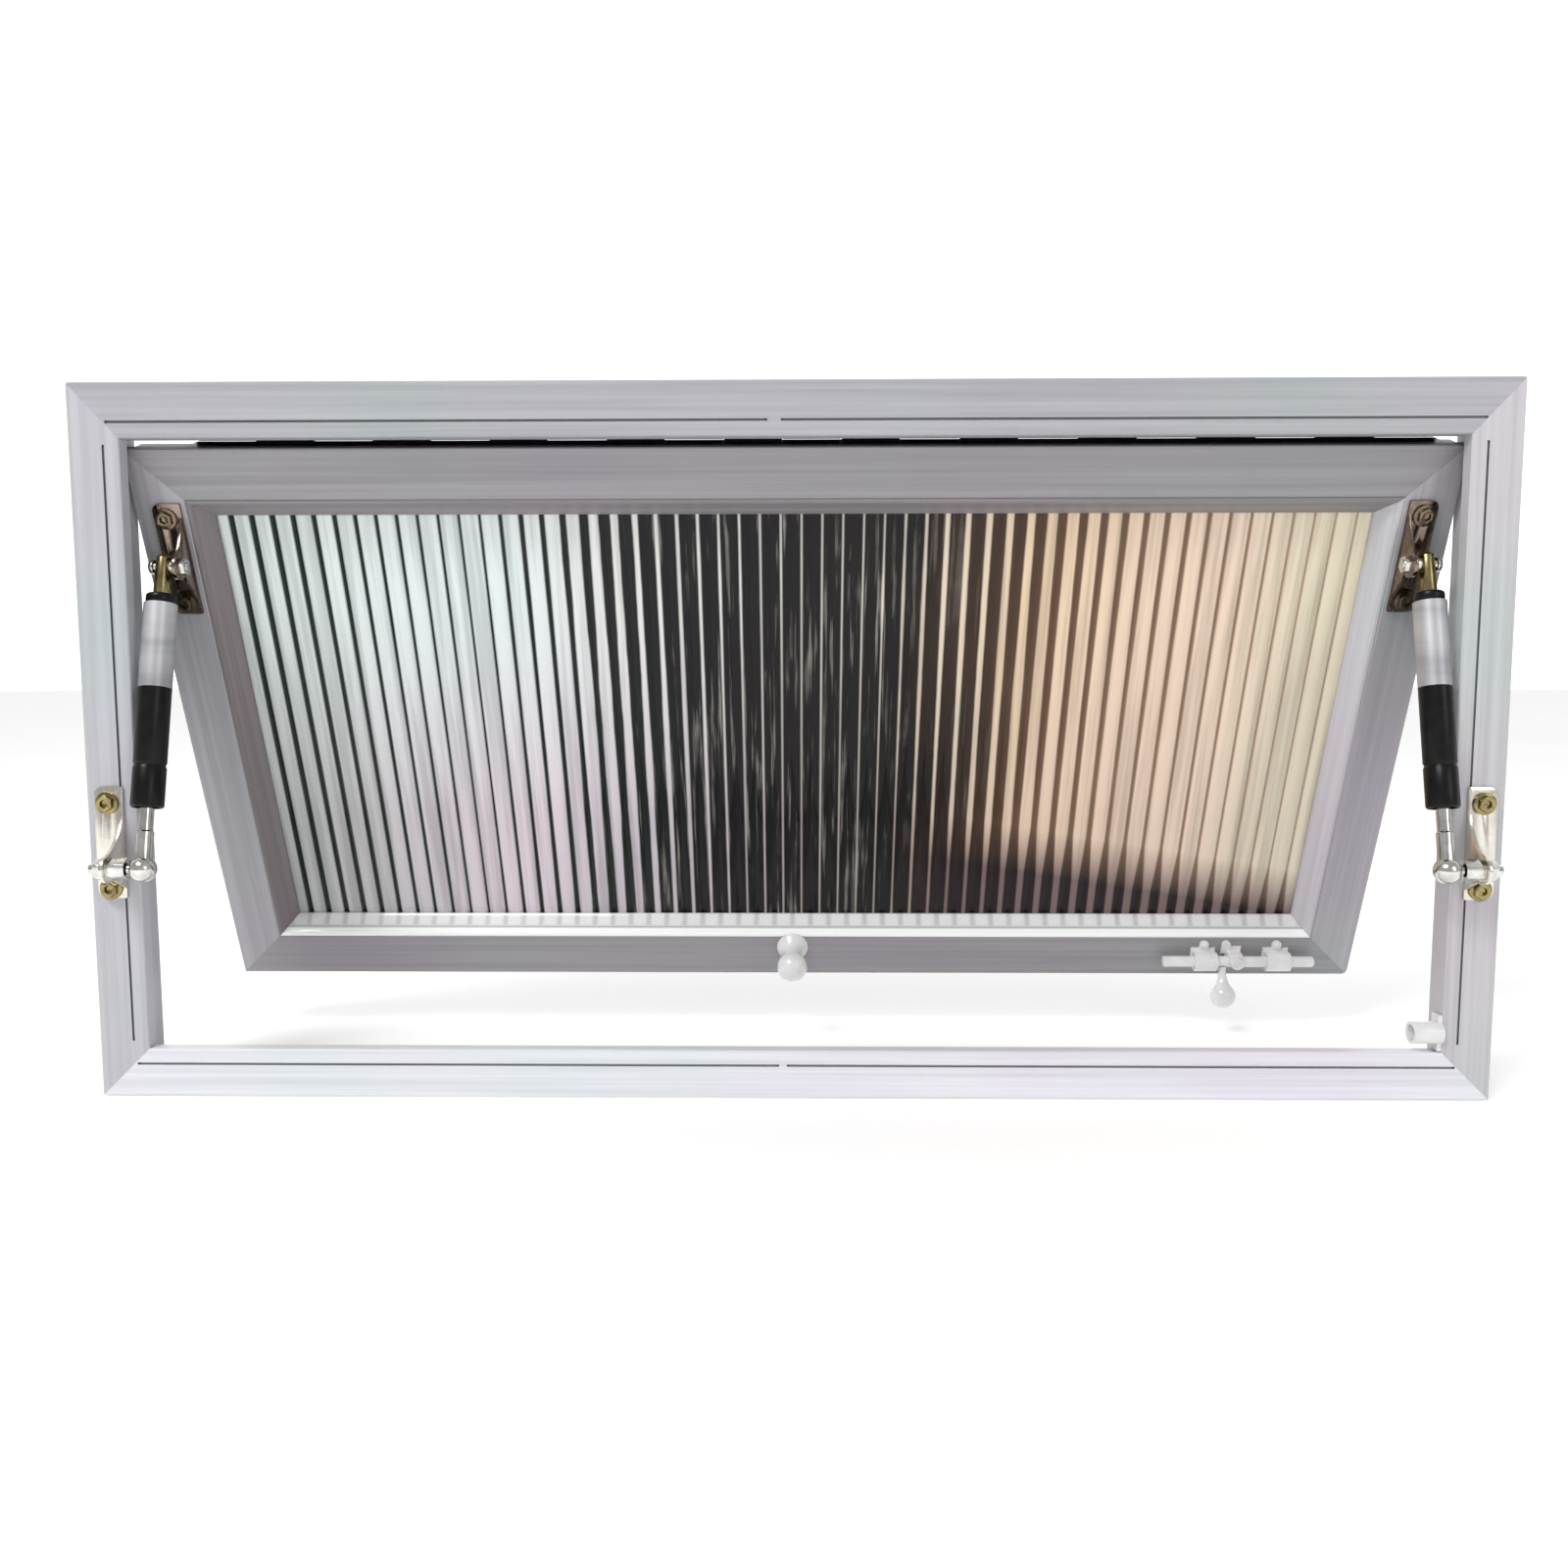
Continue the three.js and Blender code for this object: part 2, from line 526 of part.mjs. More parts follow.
function glazingBeads() {
  const rect = {
    x0: SASH_RECT.x0 + SASH_FACE,
    x1: SASH_RECT.x1 - SASH_FACE,
    z0: SASH_RECT.z0 + SASH_FACE,
    z1: SASH_RECT.z1 - SASH_FACE,
  };
  return Object.keys(BEAD_FACES).map((side) => (
    mesh(`glazing_bead_${side}`, mitredSide(side, rect, BEAD_FACES, beadProfile(), SASH_Y), WHITE)
  ));
}

// A pane whose indoor side is a row of upright, rounded reeds.
function glassPane() {
  const half = SASH_W / 2 - SASH_FACE - PANE_EDGE;
  const valley = SASH_Y + BEAD_D + SEAT + REED_H;
  const reeds = Math.floor((2 * half) / REED_PITCH);
  const start = (-reeds * REED_PITCH) / 2;
  const front = [];
  for (let i = 0; i <= reeds * REED_STEPS; i += 1) {
    const across = (i % REED_STEPS) / REED_STEPS;
    const crest = REED_H * (1 - (2 * across - 1) ** 2);
    front.push([start + (i * REED_PITCH) / REED_STEPS, valley - crest]);
  }
  const outline = polygon([[-half, valley], ...front, [half, valley], [half, valley + PANE_T], [-half, valley + PANE_T]]);
  const z0 = SASH_RECT.z0 + SASH_FACE + PANE_EDGE;
  const z1 = SASH_RECT.z1 - SASH_FACE - PANE_EDGE;
  return mesh('glass_pane', prism(outline, 'z', z0, z1), REEDED);
}

function pullKnob() {
  const z = SASH_TOP_Z - KNOB.down;
  const at = new THREE.Vector3(0, SASH_Y - SEAT, z);
  const profile = [
    [0, 0], [KNOB.flangeR, 0], [KNOB.flangeR, 2], [KNOB.flangeR - 1.5, 3.4], [8.4, 7], [KNOB.neckR, 11],
    [KNOB.neckR, 15], ...ballArc(KNOB.ballR, KNOB.ballOut, 146, 0, 9),
  ];
  return mesh('pull_knob', turned(profile, at, new THREE.Vector3(0, -1, 0), 28), HARDWARE);
}

// A tube on a saddle, with a foot plate flat on the rail and an ear above it for its screw.
function boltSleeve(name, [x0, x1]) {
  const y = SASH_Y - BOLT.out;
  const z = SASH_TOP_Z - BOLT.down;
  const wall = SASH_Y - SEAT;
  const tube = round('x', y, z, SLEEVE_R, x0, x1);
  const saddle = box(x0, x1, y, wall, z - 6.5, z + 6.5);
  const foot = box(x0 - 1, x1 + 0.4, wall - 1.6, wall, z - 9.5, z + 8.6);
  const middle = (x0 + x1) / 2;
  const tab = prism(roundedRect(
    { x0: middle - 3.8, x1: middle + 3.8, z0: z, z1: z + 15.5 },
    { tl: 3.4, tr: 3.4, bl: 0.5, br: 0.5 },
  ), 'y', wall - 2.6, wall, 5);
  const rivet = round('y', middle, z + 11.6, 2.4, wall - 3.6, wall - 2, 12);
  const bore = round('x', y, z, SLEEVE_BORE_R, x0 - 3, x1 + 3, 18);
  return mesh(name, cut(join(tube, saddle, foot, tab, rivet), bore), HARDWARE);
}

// A hook over the rod with a round button in front: the handle passes under it only while it hangs down.
function boltCatch() {
  const y = SASH_Y - BOLT.out;
  const z = SASH_TOP_Z - BOLT.down;
  const wall = SASH_Y - SEAT;
  const [x0, x1] = CATCH_X;
  const middle = (x0 + x1) / 2;
  const arch = cut(
    round('x', y, z, 7.4, x0 + 1, x1 - 1),
    box(x0, x1, y - 12, y + 12, z - 12, z - 0.5),
  );
  const foot = box(x0, x1, wall - 1.8, wall, z - 0.5, z + 10);
  const tab = prism(roundedRect(
    { x0: x0 - 3.6, x1: x0 + 3.8, z0: z + 4, z1: z + 15.5 },
    { tl: 3.4, tr: 3.4, bl: 0.5, br: 0.5 },
  ), 'y', wall - 2.6, wall, 5);
  const bridge = box(x0 + 1, x1 - 1, y, wall, z - 0.5, z + 7);
  const button = round('y', middle, z + 3, 5.2, y - 9.6, y - 5, 18);
  const bore = round('x', y, z, SLEEVE_BORE_R, x0 - 6, x1 + 2, 18);
  const dimple = round('y', middle, z + 3, 3.6, y - 11, y - 8.6, 14);
  return mesh('bolt_catch', cut(join(arch, foot, tab, bridge, button), bore, dimple), HARDWARE);
}

function boltRod() {
  const at = new THREE.Vector3(BOLT.x0, SASH_Y - BOLT.out, SASH_TOP_Z - BOLT.down);
  const length = BOLT.x1 - BOLT.x0;
  const r = BOLT.rodR;
  const profile = [[0, 0], [r - 1, 0], [r, 1], [r, length - 1.5], [r - 1.5, length], [0, length]];
  return mesh('bolt_rod', turned(profile, at, new THREE.Vector3(1, 0, 0)), HARDWARE);
}

// A pear-shaped lever that stands off the rod, tilted out from the sash's face.
function boltHandle() {
  const tilt = THREE.MathUtils.degToRad(HANDLE.tiltDeg);
  const at = new THREE.Vector3(HANDLE.x, SASH_Y - BOLT.out, SASH_TOP_Z - BOLT.down);
  const direction = new THREE.Vector3(0, -Math.sin(tilt), -Math.cos(tilt));
  const foot = BOLT.rodR + 0.3;
  const profile = [
    [0, foot], [3.3, foot], [3.2, 9], [3.4, 13], [4.4, 17],
    ...ballArc(HANDLE.ballR, HANDLE.ballOut, 138, 0, 9),
  ];
  return mesh('bolt_handle', turned(profile, at, direction, 22), HARDWARE);
}

// ---------------------------------------------------------------- struts, drawn along +Z from the lower ball
const ORIGIN = new THREE.Vector3();
const UP = new THREE.Vector3(0, 0, 1);

function strutTube({ tag }) {
  const floor = TUBE_TO - 4;
  const mouth = TUBE_BORE_R - 0.2;
  const profile = [
    [0, TUBE_TO], [TUBE_R - 1.5, TUBE_TO], [TUBE_R, TUBE_TO - 1.5], [TUBE_R, 74.5], [TUBE_R - 0.7, 73.2],
    [TUBE_R - 0.7, 72.2], [TUBE_R, 71], [TUBE_R, TUBE_FROM + 1.8], [TUBE_R - 1, TUBE_FROM], [mouth, TUBE_FROM],
    [mouth, TUBE_FROM + 3], [TUBE_BORE_R, TUBE_FROM + 5], [TUBE_BORE_R, floor], [0, floor],
  ];
  return mesh(`strut_tube_${tag}`, turned(profile.reverse(), ORIGIN, UP, 24), BLACK);
}

function strutCap({ tag }) {
  const [a, b] = [TUBE_TO + SEAT, CAP_TO];
  const profile = [[0, a], [9.6, a], [10, a + 1], [10, b - 1.5], [8.6, b], [0, b]];
  return mesh(`strut_cap_${tag}`, turned(profile, ORIGIN, UP, 20), BLACK);
}

function strutEye({ tag, sign }) {
  const tip = strutLength + 8.4;
  const profile = [[0, CAP_TO + SEAT], [EYE_R, CAP_TO + SEAT], [EYE_R, tip - 2], [EYE_R - 2, tip], [0, tip]];
  const hole = round('x', 0, strutLength, PIVOT_R + PIVOT_FIT, sign * -10, sign * 10, 16);
  return mesh(`strut_eye_${tag}`, cut(turned(profile, ORIGIN, UP, 18), hole), ZINC);
}

function strutRod({ tag }) {
  const a = NECK_TO + SEAT;
  const profile = [[0, a], [ROD_R, a], [ROD_R, ROD_TO - 1], [ROD_R - 1, ROD_TO], [0, ROD_TO]];
  return mesh(`strut_rod_${tag}`, turned(profile, ORIGIN, UP, 18), CHROME);
}

function strutSocket({ tag, sign }) {
  const ball = turned(ballArc(SOCKET_R, 0, 180, 0, 12), ORIGIN, UP, 22);
  const neck = turned([[0, 4], [NECK_R, 4], [NECK_R, NECK_TO - 1], [NECK_R - 1, NECK_TO], [0, NECK_TO]], ORIGIN, UP);
  const hollow = turned(ballArc(SOCKET_BORE_R, 0, 180, 0, 12), ORIGIN, UP, 20);
  const mouth = round('x', 0, 0, 5.6, sign * 2, sign * 12, 18);
  return mesh(`strut_socket_${tag}`, cut(join(ball, neck), hollow, mouth), CHROME);
}

function strut(side) {
  const group = new THREE.Group();
  group.position.set(side.sign * STRUT_X, lowerBall.y, lowerBall.z);
  group.rotation.x = -strutLean;
  group.add(strutTube(side), strutCap(side), strutEye(side), strutRod(side), strutSocket(side));
  return group;
}

// ---------------------------------------------------------------- assembly
const frame = new THREE.Group();
frame.add(...frameSides(), frameSeal(), boltKeeper());
frame.add(hingeLeaf('hinge_leaf_frame', 0, HINGE_Z + 0.6), hingePin());
for (const side of SIDES) {
  frame.add(lowerBracket(side), ...lowerScrews(side), ballStud(side), ballStudNut(side));
}

// The sash is drawn closed, then turned open about the hinge line.
const sash = new THREE.Group();
sash.position.set(0, -HINGE_Y, -HINGE_Z);
sash.add(...sashSides(), ...glazingBeads(), glassPane());
sash.add(hingeLeaf('hinge_leaf_sash', 1, SASH_TOP_Z - HINGE_REBATE_W + SEAT));
for (const side of SIDES) {
  sash.add(upperBracket(side), ...upperScrews(side), pivotBolt(side), pivotNut(side));
}
sash.add(pullKnob(), boltCatch(), boltRod(), boltHandle());
sash.add(boltSleeve('bolt_sleeve_left', SLEEVES.left), boltSleeve('bolt_sleeve_right', SLEEVES.right));

const swing = new THREE.Group();
swing.position.copy(hingeLine);
swing.rotation.x = OPEN;
swing.add(sash);

const assembly = new THREE.Group();
assembly.add(frame, swing, ...SIDES.map(strut));

export default assembly;
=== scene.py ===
import json
import math

import bmesh
import bpy
from mathutils import Matrix, Vector

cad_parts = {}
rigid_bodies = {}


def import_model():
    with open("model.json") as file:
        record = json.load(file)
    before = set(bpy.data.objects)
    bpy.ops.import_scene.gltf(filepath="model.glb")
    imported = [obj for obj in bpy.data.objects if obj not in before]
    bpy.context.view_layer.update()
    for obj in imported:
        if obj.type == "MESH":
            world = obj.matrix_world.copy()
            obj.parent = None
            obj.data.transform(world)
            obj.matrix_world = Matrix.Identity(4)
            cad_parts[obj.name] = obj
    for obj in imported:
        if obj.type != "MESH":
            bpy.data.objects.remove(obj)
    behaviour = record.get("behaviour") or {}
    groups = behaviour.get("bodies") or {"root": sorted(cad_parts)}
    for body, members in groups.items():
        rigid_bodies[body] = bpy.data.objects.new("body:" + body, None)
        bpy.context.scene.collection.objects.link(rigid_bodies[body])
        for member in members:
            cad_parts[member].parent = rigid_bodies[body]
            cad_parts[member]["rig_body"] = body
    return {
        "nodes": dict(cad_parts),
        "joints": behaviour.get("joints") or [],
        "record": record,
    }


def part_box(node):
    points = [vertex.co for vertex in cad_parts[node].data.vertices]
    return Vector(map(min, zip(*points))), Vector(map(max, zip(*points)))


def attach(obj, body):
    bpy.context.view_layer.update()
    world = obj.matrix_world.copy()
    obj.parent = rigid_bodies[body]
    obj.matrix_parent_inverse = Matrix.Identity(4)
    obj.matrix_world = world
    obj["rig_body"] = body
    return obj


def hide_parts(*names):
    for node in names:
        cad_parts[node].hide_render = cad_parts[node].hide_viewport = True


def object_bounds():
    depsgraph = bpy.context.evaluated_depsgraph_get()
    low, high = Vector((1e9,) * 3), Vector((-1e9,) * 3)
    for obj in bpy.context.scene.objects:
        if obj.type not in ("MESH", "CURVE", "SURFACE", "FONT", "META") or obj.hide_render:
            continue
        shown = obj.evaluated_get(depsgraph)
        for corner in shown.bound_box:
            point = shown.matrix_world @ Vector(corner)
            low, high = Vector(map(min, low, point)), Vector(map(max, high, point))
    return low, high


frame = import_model()
CAD_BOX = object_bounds()

# ---------------------------------------------------------------- driving values, in metres
MM = 0.001
SIDES = {"left": -1, "right": 1}

CAMERA_AT = Vector((0.0076, -0.918, 0.316))
CAMERA_PITCH = 5.644
CAMERA_YAW = -0.791
CAMERA_ROLL = -0.06
CAMERA_LENS = 29.25
CREASE_SHADE_REACH = 2.5 * MM
WORLD_STRENGTH = 1.45

OPEN_DEG = 21.2
REED_PITCH = 15.2 * MM
REED_HEIGHT = 2.0 * MM
REED_STEPS = 14
PANE_BODY = 4.0 * MM

TUBE_FROM, TUBE_TO, CAP_TO, NECK_TO, ROD_TO = 43, 190, 196, 27, 150
LABEL_FROM, LABEL_TO = 128, 189
TUBE_R = 11.0
TUBE_BORE_R = 9.6
MOUTH_R = 9.4
TUBE_GROOVE_AT = 72.8
CAP_R = 10.0
ROD_R = 4.8
LABEL_R = 11.12
LABEL_BACK_R = 10.6
SEAT = 0.1
KNOB_FLANGE_R = 13.0
KNOB_BALL_R, KNOB_BALL_OUT = 12.3, 30.0
HANDLE_BALL_R, HANDLE_BALL_OUT = 10.3, 28.4
HANDLE_TILT_DEG = 33.2
BOLT_R = 4.5

# Per-bar coats: lit and shaded copies of one white paint, with painted light and shade for how the light
# falls on each bar and bead
COATS = {
    "frame_head": "head",
    "frame_sill": "sill",
    "frame_jamb_left": "jamb_left",
    "frame_jamb_right": "jamb_right",
    "sash_rail_top": "rail",
    "sash_rail_bottom": "rail",
    "sash_stile_left": "stile",
    "sash_stile_right": "stile",
    "glazing_bead_top": "bead_dark",
    "glazing_bead_left": "bead_left",
    "glazing_bead_right": "bead_right",
    "glazing_bead_bottom": "bead_lit",
}

JOINT = {j["name"]: j for j in frame["joints"]}
SLOT_OF = {s["node"]: s["material_slot"] for s in frame["record"]["subparts"]}
BODY_OF = {n: o["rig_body"] for n, o in frame["nodes"].items()}
HINGE = Vector(JOINT["sash_hinge"]["pos_m"])
SWING = Matrix.Rotation(math.radians(OPEN_DEG), 4, "X")
OPENED = Matrix.Translation(HINGE) @ SWING @ Matrix.Translation(-HINGE)
SASH_OUT = OPENED.to_3x3() @ Vector((0, -1, 0))


# ---------------------------------------------------------------- node graph helpers
def new_material(name):
    material = bpy.data.materials.new(name)
    material.use_nodes = True
    tree = material.node_tree
    shader = next(n for n in tree.nodes if n.type == "BSDF_PRINCIPLED")
    return material, tree, shader


def node(tree, kind, values=(), **settings):
    made = tree.nodes.new(kind)
    for key, value in settings.items():
        setattr(made, key, value)
    for key, value in dict(values).items():
        made.inputs[key].default_value = value
    return made


def object_space(tree, scale):
    """Object coordinates in metres, stretched by scale along each axis."""
    where = node(tree, "ShaderNodeTexCoord")
    mapping = node(tree, "ShaderNodeMapping", {"Scale": scale})
    tree.links.new(where.outputs["Object"], mapping.inputs["Vector"])
    return mapping.outputs["Vector"]


def noise(tree, scale, detail=4.0, stretch=(1, 1, 1), roughness=0.55):
    texture = node(tree, "ShaderNodeTexNoise", {"Scale": scale, "Detail": detail, "Roughness": roughness})
    tree.links.new(object_space(tree, stretch), texture.inputs["Vector"])
    return texture.outputs["Fac"]


def ramp(tree, value, stops):
    """A colour ramp over value: stops are (place, colour)."""
    made = node(tree, "ShaderNodeValToRGB")
    elements = made.color_ramp.elements
    while len(elements) < len(stops):
        elements.new(0.5)
    for element, (place, colour) in zip(elements, stops):
        element.position = place
        element.color = (*colour, 1.0)
    tree.links.new(value, made.inputs["Fac"])
    return made.outputs["Color"]


def grey(level):
    return (level, level, level)


def scaled(tree, value, low, high, from_low=0.0, from_high=1.0):
    made = node(tree, "ShaderNodeMapRange", {
        "From Min": from_low, "From Max": from_high, "To Min": low, "To Max": high,
    })
    tree.links.new(value, made.inputs["Value"])
    return made.outputs["Result"]


def mixed(tree, factor, first, second, blend="MIX"):
    """Mixes two colours. Each may be a colour or a socket, and so may the factor."""
    made = node(tree, "ShaderNodeMix", data_type="RGBA", blend_type=blend)
    for socket, value in ((made.inputs[0], factor), (made.inputs[6], first), (made.inputs[7], second)):
        if isinstance(value, bpy.types.NodeSocket):
            tree.links.new(value, socket)
        elif isinstance(value, (int, float)):
            socket.default_value = value
        else:
            socket.default_value = (*value, 1.0)
    return made.outputs[2]


def add_bump(tree, shader, height, strength, distance):
    bump = node(tree, "ShaderNodeBump", {"Strength": strength, "Distance": distance})
    tree.links.new(height, bump.inputs["Height"])
    tree.links.new(bump.outputs["Normal"], shader.inputs["Normal"])


def surface(tree, shader, colour, rough, low, high):
    """Feeds the shader its colour, and a roughness that wanders between low and high."""
    tree.links.new(colour, shader.inputs["Base Color"])
    tree.links.new(scaled(tree, rough, low, high), shader.inputs["Roughness"])


# ---------------------------------------------------------------- materials
def coated_aluminium(name, light, dark, along):
    """Powder-coated bar: streaks along it, cloudy tone, painted shade darkening the creases, satin sheen,
    orange peel.
    """
    material, tree, shader = new_material(name)
    stretch = (0.012, 1, 1) if along == "x" else (1, 0.012, 0.012)
    streak = noise(tree, 230, 4, stretch)
    base = ramp(tree, streak, [(0.34, dark), (0.62, light)])
    tint = ramp(tree, noise(tree, 4.5, 2), [
        (0.34, (0.90, 1.0, 0.96)), (0.5, (1, 1, 1)), (0.66, (1.0, 0.94, 1.0)),
    ])
    # Ambient occlusion darkens the colour in grooves and mitre lines: painted shade
    crease = node(tree, "ShaderNodeAmbientOcclusion", {"Distance": CREASE_SHADE_REACH}, samples=6, only_local=True)
    shade = ramp(tree, crease.outputs["AO"], [(0.35, grey(0.16)), (0.8, grey(1.0))])
    toned = mixed(tree, 0.8, base, tint, "MULTIPLY")
    crease_shaded = mixed(tree, 1.0, toned, shade, "MULTIPLY")
    surface(tree, shader, crease_shaded, noise(tree, 40, 3), 0.34, 0.48)
    shader.inputs["Coat Weight"].default_value = 0.15
    shader.inputs["Coat Roughness"].default_value = 0.25
    add_bump(tree, shader, noise(tree, 1400, 2), 0.12, 0.0002)
    return material


def cast_enamel(name, colour):
    """Gloss white enamel on castings, with slight pooling of tone and soft dimples."""
    material, tree, shader = new_material(name)
    dull = tuple(c * 0.9 for c in colour)
    tone = ramp(tree, noise(tree, 60, 3), [(0.35, dull), (0.65, colour)])
    surface(tree, shader, tone, noise(tree, 180, 2), 0.18, 0.32)
    shader.inputs["Coat Weight"].default_value = 0.5
    shader.inputs["Coat Roughness"].default_value = 0.12
    add_bump(tree, shader, noise(tree, 320, 2), 0.15, 0.0003)
    return material


def plated(name, bright, dull, low, high, grain=700):
    """Plated steel: cloudy plating, fine rolled grain and a roughness that wanders."""
    material, tree, shader = new_material(name)
    shader.inputs["Metallic"].default_value = 1.0
    tone = ramp(tree, noise(tree, 90, 5), [(0.3, dull), (0.65, bright)])
    surface(tree, shader, tone, noise(tree, 150, 4), low, high)
    add_bump(tree, shader, noise(tree, grain, 3), 0.18, 0.0002)
    return material


def strut_enamel():
    """Deep black enamel with a soft sheen."""
    material, tree, shader = new_material("strut_enamel")
    tone = ramp(tree, noise(tree, 120, 3), [(0.35, grey(0.003)), (0.7, grey(0.008))])
    surface(tree, shader, tone, noise(tree, 90, 4), 0.24, 0.36)
    shader.inputs["Specular IOR Level"].default_value = 0.22
    add_bump(tree, shader, noise(tree, 900, 2), 0.06, 0.0001)
    return material


def label_film():
    """A blank silver film wrapped on the tube, a little scuffed, with soft bands round it."""
    material, tree, shader = new_material("label_film")
    shader.inputs["Metallic"].default_value = 0.55
    bands = noise(tree, 55, 2, (0.1, 0.1, 1))
    tone = ramp(tree, bands, [(0.35, (0.36, 0.36, 0.38)), (0.6, (0.56, 0.56, 0.58))])
    surface(tree, shader, tone, noise(tree, 200, 3), 0.32, 0.5)
    add_bump(tree, shader, noise(tree, 500, 2), 0.1, 0.0002)
    return material


def seal_rubber():
    material, tree, shader = new_material("seal_rubber")
    tone = ramp(tree, noise(tree, 200, 3), [(0.3, grey(0.008)), (0.7, grey(0.02))])
    surface(tree, shader, tone, noise(tree, 300, 2), 0.6, 0.8)
    add_bump(tree, shader, noise(tree, 1500, 2), 0.2, 0.0002)
    return material


def from_reed_edge(tree, coordinate):
    """Zero on the line between two reeds, one along the crown of each."""
    phase = node(tree, "ShaderNodeMath", operation="PINGPONG")
    tree.links.new(coordinate, phase.inputs[0])
    phase.inputs[1].default_value = REED_PITCH / 2
    return scaled(tree, phase.outputs[0], 0.0, 1.0, 0.0, REED_PITCH / 2)


def arithmetic(tree, first, second, operation="ADD"):
    """One value from two. Each may be a number or a socket."""
    made = node(tree, "ShaderNodeMath", operation=operation)
    for socket, value in zip(made.inputs, (first, second)):
        if isinstance(value, bpy.types.NodeSocket):
            tree.links.new(value, socket)
        else:
            socket.default_value = value
    return made.outputs[0]


def reeded_glass():
    """Reeded glass whose colour is painted reflection and painted highlight: a light band on a dark ground in
    each reed. The bands are wide and pale green at one side, thin threads over a dark ground in the middle,
    then peach and widening, painted dusky along the lower edge."""
    material, tree, shader = new_material("reeded_glass")
    where = node(tree, "ShaderNodeTexCoord")
    split = node(tree, "ShaderNodeSeparateXYZ")
    tree.links.new(where.outputs["Object"], split.inputs["Vector"])
    x, z = split.outputs["X"], split.outputs["Z"]
    drift = scaled(tree, noise(tree, 9, 6, (1, 0.4, 0.4)), -0.08, 0.08)
    across = scaled(tree, arithmetic(tree, x, drift), 0.0, 1.0, -0.44, 0.44)
    # share: width of the painted highlight band in each reed, across the pane
    share = ramp(tree, across, [
        (0.06, grey(0.70)), (0.22, grey(0.88)), (0.30, grey(0.72)), (0.37, grey(0.26)), (0.44, grey(0.10)),
        (0.58, grey(0.07)), (0.63, grey(0.26)), (0.74, grey(0.62)), (0.86, grey(0.84)), (0.97, grey(0.92)),
    ])
    # dusk: mask for a painted darker zone low on the right side
    taper = scaled(tree, arithmetic(tree, z, scaled(tree, x, 0.0, 0.05, 0.12, 0.42)), 1.0, 0.0, 0.15, 0.19)
    right = scaled(tree, x, 0.0, 1.0, 0.08, 0.12)
    dusk = arithmetic(tree, taper, right, "MULTIPLY")
    width = arithmetic(tree, share, scaled(tree, dusk, 1.0, 0.55), "MULTIPLY")
    band = arithmetic(tree, from_reed_edge(tree, x), width)
    lit = scaled(tree, band, 0.0, 1.0, 0.92, 1.1)
    # top and low: colours of the painted reflection in the bands, upper and lower part
    top = ramp(tree, across, [
        (0.05, (0.80, 0.88, 0.85)), (0.26, (0.82, 0.90, 0.90)), (0.36, (0.86, 0.85, 0.82)),
        (0.58, (0.80, 0.74, 0.66)), (0.68, (0.88, 0.68, 0.46)), (0.84, (0.92, 0.72, 0.58)),
        (0.97, (0.86, 0.78, 0.60)),
    ])
    low = ramp(tree, across, [
        (0.05, (0.56, 0.57, 0.56)), (0.26, (0.80, 0.70, 0.77)), (0.36, (0.62, 0.57, 0.61)),
        (0.58, (0.60, 0.50, 0.44)), (0.68, (0.80, 0.62, 0.46)), (0.84, (0.88, 0.68, 0.55)),
        (0.97, (0.84, 0.76, 0.60)),
    ])
    fall = ramp(tree, scaled(tree, z, 1.0, 0.0, 0.13, 0.43), [(0.25, grey(0.0)), (0.8, grey(1.0))])
    streak = ramp(tree, noise(tree, 160, 3, (1, 0.03, 0.03)), [(0.36, grey(0.55)), (0.56, grey(1.0))])
    bright = mixed(tree, 0.55, mixed(tree, fall, top, low), streak, "MULTIPLY")
    bright = mixed(tree, dusk, bright, (0.22, 0.155, 0.15))
    # threads and glints: thin painted highlights over the dark middle
    threads = ramp(tree, noise(tree, 260, 4, (1, 0.04, 0.04)), [(0.55, grey(0.0)), (0.68, grey(1.0))])
    glints = scaled(tree, noise(tree, 14, 3), 0.0, 0.9, 0.38, 0.66)
    # ground: the dark between the bands, a painted reflection of the surroundings
    ground = ramp(tree, across, [
        (0.25, (0.014, 0.022, 0.018)), (0.40, (0.013, 0.012, 0.014)), (0.60, (0.014, 0.011, 0.010)),
        (0.72, (0.14, 0.075, 0.045)), (0.95, (0.40, 0.27, 0.18)),
    ])
    ground = mixed(tree, dusk, ground, (0.020, 0.012, 0.013))
    middle = ramp(tree, across, [
        (0.28, grey(0.0)), (0.38, grey(1.0)), (0.58, grey(1.0)), (0.66, grey(0.0)),
    ])
    threaded = arithmetic(tree, arithmetic(tree, threads, glints, "MULTIPLY"), middle, "MULTIPLY")
    ground = mixed(tree, threaded, ground, (0.36, 0.35, 0.31))
    surface(tree, shader, mixed(tree, lit, ground, bright), noise(tree, 30, 2), 0.04, 0.10)
    shader.inputs["Transmission Weight"].default_value = 0.1
    shader.inputs["IOR"].default_value = 1.5
    shader.inputs["Specular IOR Level"].default_value = 0.15
    add_bump(tree, shader, noise(tree, 70, 3, (1, 0.25, 0.25)), 0.15, 0.0006)
    return material


